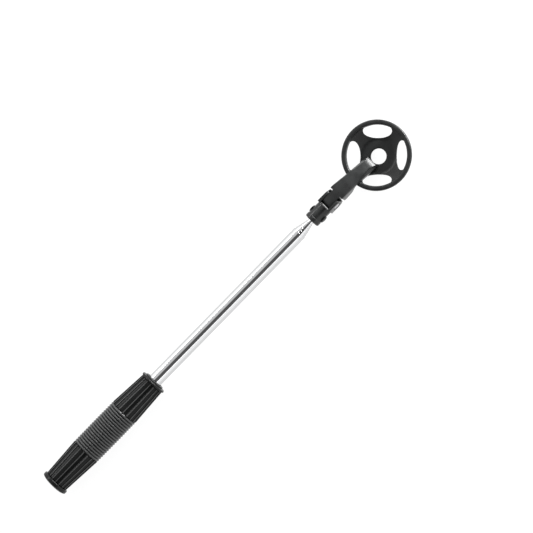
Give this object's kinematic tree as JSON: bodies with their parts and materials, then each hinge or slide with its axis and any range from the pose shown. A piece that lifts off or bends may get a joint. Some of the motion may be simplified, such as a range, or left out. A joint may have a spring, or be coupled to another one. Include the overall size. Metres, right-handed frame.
{
  "type": "golf ball retriever",
  "caption": "Compact telescopic ball retriever: ribbed black handle, nested steel tubes and a tilting domed ring head that scoops a ball out of reach.",
  "frame": {"origin": "centre of the flat butt end of the handle", "axes": "+X along the shaft towards the head, +Z out of the open mouth of the ball dish, +Y across the hinge"},
  "size_m": [0.357, 0.0514, 0.0228],
  "materials": {
    "hard_black": "satin moulded black plastic",
    "soft_black": "matt moulded rubber",
    "inner_black": "plain moulded",
    "polished_steel": "polished bright stainless tube",
    "nylon": "natural nylon",
    "pin_steel": "turned",
    "dish_black": "satin moulded black plastic"
  },
  "bodies": {
    "handle": {"butt_cap": "hard_black", "handle_core": "inner_black", "rear_grip": "hard_black", "grip_sleeve": "soft_black", "front_grip": "hard_black", "front_collar": "hard_black", "tube_plug": "nylon", "tube_1": "polished_steel"},
    "section_2": {"tube_2": "polished_steel", "slide_bush_2": "nylon"},
    "section_3": {"tube_3": "polished_steel", "slide_bush_3": "nylon"},
    "section_4": {"tube_4": "polished_steel", "slide_bush_4": "nylon"},
    "section_5": {"tube_5": "polished_steel", "slide_bush_5": "nylon"},
    "section_6": {"tube_6": "polished_steel", "slide_bush_6": "nylon"},
    "section_7": {"tube_7": "polished_steel", "slide_bush_7": "nylon", "tip_stud": "pin_steel", "head_yoke": "hard_black", "yoke_rivet": "hard_black", "hinge_pin": "pin_steel"},
    "head": {"lift_arm": "hard_black", "ball_dish": "dish_black", "dish_screw_1": "pin_steel", "dish_screw_2": "pin_steel"}
  },
  "joints": [
    {"name": "slide_2", "type": "slide", "parent": "handle", "child": "section_2", "axis": [1, 0, 0], "range_m": [0, 0.225]},
    {"name": "slide_3", "type": "slide", "parent": "section_2", "child": "section_3", "axis": [1, 0, 0], "range_m": [0, 0.219]},
    {"name": "slide_4", "type": "slide", "parent": "section_3", "child": "section_4", "axis": [1, 0, 0], "range_m": [0, 0.213]},
    {"name": "slide_5", "type": "slide", "parent": "section_4", "child": "section_5", "axis": [1, 0, 0], "range_m": [0, 0.207]},
    {"name": "slide_6", "type": "slide", "parent": "section_5", "child": "section_6", "axis": [1, 0, 0], "range_m": [0, 0.201]},
    {"name": "slide_7", "type": "slide", "parent": "section_6", "child": "section_7", "axis": [1, 0, 0], "range_m": [0, 0.195]},
    {"name": "head_tilt", "type": "hinge", "parent": "section_7", "child": "head", "pos_m": [0.2856, 0, 0], "axis": [0, -1, 0], "range_deg": [0, 90]}
  ]
}
